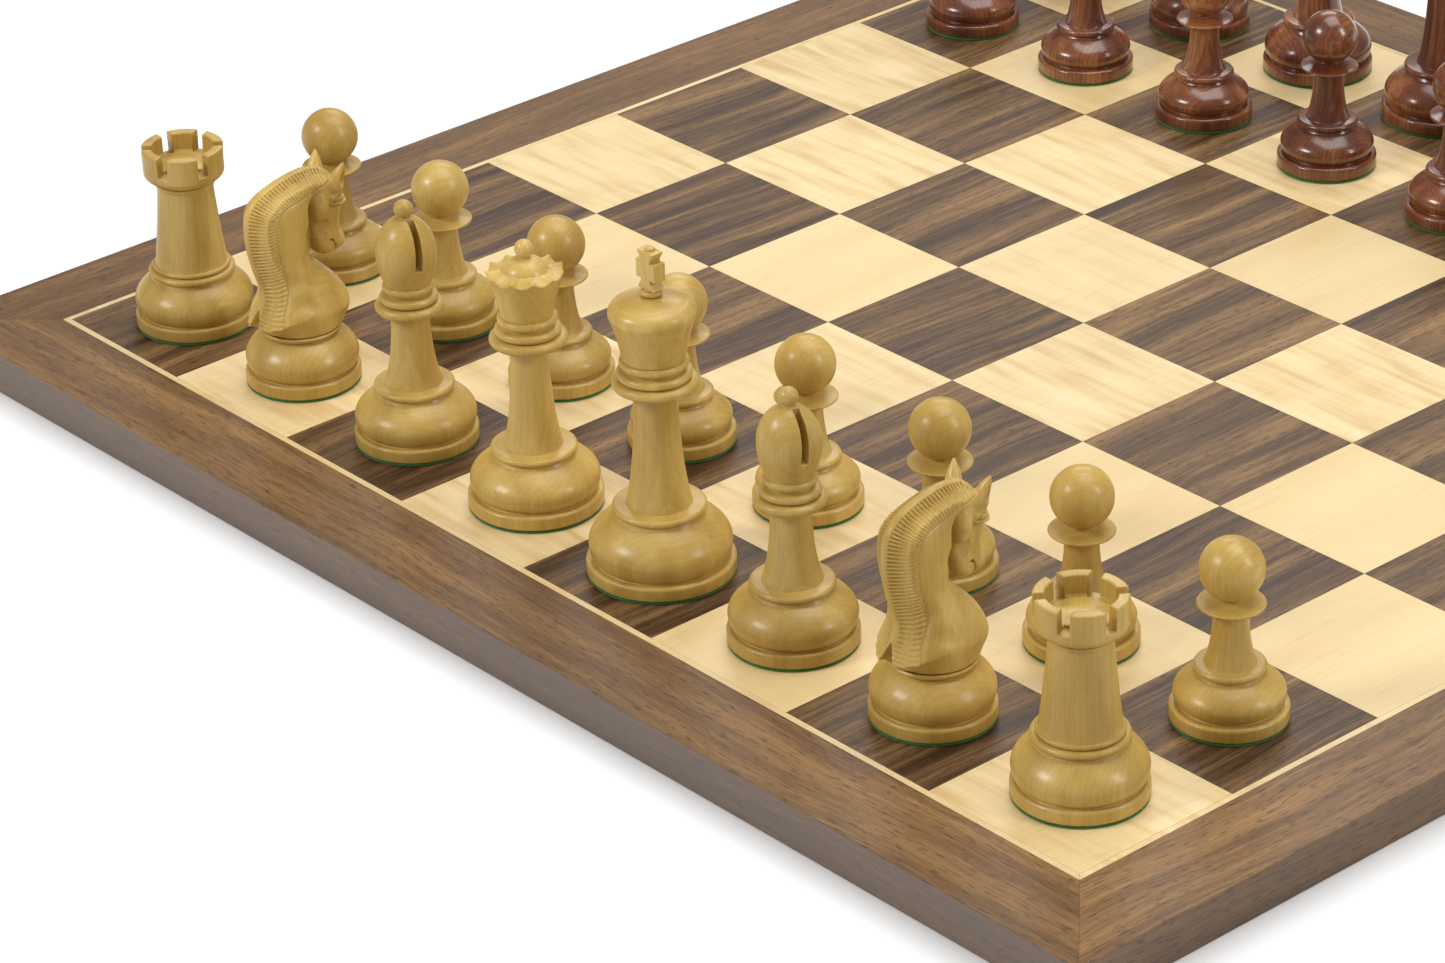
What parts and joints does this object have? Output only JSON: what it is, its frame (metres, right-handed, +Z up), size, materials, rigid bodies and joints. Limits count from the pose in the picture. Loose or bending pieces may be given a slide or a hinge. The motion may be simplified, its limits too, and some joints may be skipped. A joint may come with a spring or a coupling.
{
  "type": "chess set with board",
  "caption": "Complete chess set in its starting position: turned wooden men with weighted felted bases on a flat veneered board with a mitred border.",
  "frame": {"origin": "centre of the board's underside", "axes": "+Z up, +Y from the light army to the dark army, +X from the a-file to the h-file"},
  "size_m": [0.5, 0.5, 0.1117],
  "materials": {
    "core_board": "raw panel, hidden under the veneers",
    "walnut_veneer": "satin lacquer",
    "maple_veneer": "satin lacquer",
    "boxwood": "polished, with green baize under the base",
    "rosewood": "polished, with green baize under the base"
  },
  "bodies": {
    "board": {"board_core": "core_board", "backing_veneer": "walnut_veneer", "walnut_squares": "walnut_veneer", "maple_squares": "maple_veneer", "inlaid_line": "maple_veneer", "border_front": "walnut_veneer", "border_right": "walnut_veneer", "border_back": "walnut_veneer", "border_left": "walnut_veneer", "edge_front": "walnut_veneer", "edge_right": "walnut_veneer", "edge_back": "walnut_veneer", "edge_left": "walnut_veneer"},
    "white_rook_a1": {"white_rook_a1": "boxwood"},
    "white_knight_b1": {"white_knight_b1": "boxwood", "white_knight_b1_head": "boxwood"},
    "white_bishop_c1": {"white_bishop_c1": "boxwood"},
    "white_queen_d1": {"white_queen_d1": "boxwood"},
    "white_king_e1": {"white_king_e1": "boxwood", "white_king_e1_cross": "boxwood"},
    "white_bishop_f1": {"white_bishop_f1": "boxwood"},
    "white_knight_g1": {"white_knight_g1": "boxwood", "white_knight_g1_head": "boxwood"},
    "white_rook_h1": {"white_rook_h1": "boxwood"},
    "white_pawn_a2": {"white_pawn_a2": "boxwood"},
    "white_pawn_b2": {"white_pawn_b2": "boxwood"},
    "white_pawn_c2": {"white_pawn_c2": "boxwood"},
    "white_pawn_d2": {"white_pawn_d2": "boxwood"},
    "white_pawn_e2": {"white_pawn_e2": "boxwood"},
    "white_pawn_f2": {"white_pawn_f2": "boxwood"},
    "white_pawn_g2": {"white_pawn_g2": "boxwood"},
    "white_pawn_h2": {"white_pawn_h2": "boxwood"},
    "black_pawn_a7": {"black_pawn_a7": "rosewood"},
    "black_pawn_b7": {"black_pawn_b7": "rosewood"},
    "black_pawn_c7": {"black_pawn_c7": "rosewood"},
    "black_pawn_d7": {"black_pawn_d7": "rosewood"},
    "black_pawn_e7": {"black_pawn_e7": "rosewood"},
    "black_pawn_f7": {"black_pawn_f7": "rosewood"},
    "black_pawn_g7": {"black_pawn_g7": "rosewood"},
    "black_pawn_h7": {"black_pawn_h7": "rosewood"},
    "black_rook_a8": {"black_rook_a8": "rosewood"},
    "black_knight_b8": {"black_knight_b8": "rosewood", "black_knight_b8_head": "rosewood"},
    "black_bishop_c8": {"black_bishop_c8": "rosewood"},
    "black_queen_d8": {"black_queen_d8": "rosewood"},
    "black_king_e8": {"black_king_e8": "rosewood", "black_king_e8_cross": "rosewood"},
    "black_bishop_f8": {"black_bishop_f8": "rosewood"},
    "black_knight_g8": {"black_knight_g8": "rosewood", "black_knight_g8_head": "rosewood"},
    "black_rook_h8": {"black_rook_h8": "rosewood"}
  },
  "joints": [
    {"name": "white_rook_a1_lift", "type": "slide", "parent": "board", "child": "white_rook_a1", "axis": [0, 0, 1], "range_m": [0, 0.12]},
    {"name": "white_knight_b1_lift", "type": "slide", "parent": "board", "child": "white_knight_b1", "axis": [0, 0, 1], "range_m": [0, 0.12]},
    {"name": "white_bishop_c1_lift", "type": "slide", "parent": "board", "child": "white_bishop_c1", "axis": [0, 0, 1], "range_m": [0, 0.12]},
    {"name": "white_queen_d1_lift", "type": "slide", "parent": "board", "child": "white_queen_d1", "axis": [0, 0, 1], "range_m": [0, 0.12]},
    {"name": "white_king_e1_lift", "type": "slide", "parent": "board", "child": "white_king_e1", "axis": [0, 0, 1], "range_m": [0, 0.12]},
    {"name": "white_bishop_f1_lift", "type": "slide", "parent": "board", "child": "white_bishop_f1", "axis": [0, 0, 1], "range_m": [0, 0.12]},
    {"name": "white_knight_g1_lift", "type": "slide", "parent": "board", "child": "white_knight_g1", "axis": [0, 0, 1], "range_m": [0, 0.12]},
    {"name": "white_rook_h1_lift", "type": "slide", "parent": "board", "child": "white_rook_h1", "axis": [0, 0, 1], "range_m": [0, 0.12]},
    {"name": "white_pawn_a2_lift", "type": "slide", "parent": "board", "child": "white_pawn_a2", "axis": [0, 0, 1], "range_m": [0, 0.12]},
    {"name": "white_pawn_b2_lift", "type": "slide", "parent": "board", "child": "white_pawn_b2", "axis": [0, 0, 1], "range_m": [0, 0.12]},
    {"name": "white_pawn_c2_lift", "type": "slide", "parent": "board", "child": "white_pawn_c2", "axis": [0, 0, 1], "range_m": [0, 0.12]},
    {"name": "white_pawn_d2_lift", "type": "slide", "parent": "board", "child": "white_pawn_d2", "axis": [0, 0, 1], "range_m": [0, 0.12]},
    {"name": "white_pawn_e2_lift", "type": "slide", "parent": "board", "child": "white_pawn_e2", "axis": [0, 0, 1], "range_m": [0, 0.12]},
    {"name": "white_pawn_f2_lift", "type": "slide", "parent": "board", "child": "white_pawn_f2", "axis": [0, 0, 1], "range_m": [0, 0.12]},
    {"name": "white_pawn_g2_lift", "type": "slide", "parent": "board", "child": "white_pawn_g2", "axis": [0, 0, 1], "range_m": [0, 0.12]},
    {"name": "white_pawn_h2_lift", "type": "slide", "parent": "board", "child": "white_pawn_h2", "axis": [0, 0, 1], "range_m": [0, 0.12]},
    {"name": "black_pawn_a7_lift", "type": "slide", "parent": "board", "child": "black_pawn_a7", "axis": [0, 0, 1], "range_m": [0, 0.12]},
    {"name": "black_pawn_b7_lift", "type": "slide", "parent": "board", "child": "black_pawn_b7", "axis": [0, 0, 1], "range_m": [0, 0.12]},
    {"name": "black_pawn_c7_lift", "type": "slide", "parent": "board", "child": "black_pawn_c7", "axis": [0, 0, 1], "range_m": [0, 0.12]},
    {"name": "black_pawn_d7_lift", "type": "slide", "parent": "board", "child": "black_pawn_d7", "axis": [0, 0, 1], "range_m": [0, 0.12]},
    {"name": "black_pawn_e7_lift", "type": "slide", "parent": "board", "child": "black_pawn_e7", "axis": [0, 0, 1], "range_m": [0, 0.12]},
    {"name": "black_pawn_f7_lift", "type": "slide", "parent": "board", "child": "black_pawn_f7", "axis": [0, 0, 1], "range_m": [0, 0.12]},
    {"name": "black_pawn_g7_lift", "type": "slide", "parent": "board", "child": "black_pawn_g7", "axis": [0, 0, 1], "range_m": [0, 0.12]},
    {"name": "black_pawn_h7_lift", "type": "slide", "parent": "board", "child": "black_pawn_h7", "axis": [0, 0, 1], "range_m": [0, 0.12]},
    {"name": "black_rook_a8_lift", "type": "slide", "parent": "board", "child": "black_rook_a8", "axis": [0, 0, 1], "range_m": [0, 0.12]},
    {"name": "black_knight_b8_lift", "type": "slide", "parent": "board", "child": "black_knight_b8", "axis": [0, 0, 1], "range_m": [0, 0.12]},
    {"name": "black_bishop_c8_lift", "type": "slide", "parent": "board", "child": "black_bishop_c8", "axis": [0, 0, 1], "range_m": [0, 0.12]},
    {"name": "black_queen_d8_lift", "type": "slide", "parent": "board", "child": "black_queen_d8", "axis": [0, 0, 1], "range_m": [0, 0.12]},
    {"name": "black_king_e8_lift", "type": "slide", "parent": "board", "child": "black_king_e8", "axis": [0, 0, 1], "range_m": [0, 0.12]},
    {"name": "black_bishop_f8_lift", "type": "slide", "parent": "board", "child": "black_bishop_f8", "axis": [0, 0, 1], "range_m": [0, 0.12]},
    {"name": "black_knight_g8_lift", "type": "slide", "parent": "board", "child": "black_knight_g8", "axis": [0, 0, 1], "range_m": [0, 0.12]},
    {"name": "black_rook_h8_lift", "type": "slide", "parent": "board", "child": "black_rook_h8", "axis": [0, 0, 1], "range_m": [0, 0.12]}
  ]
}
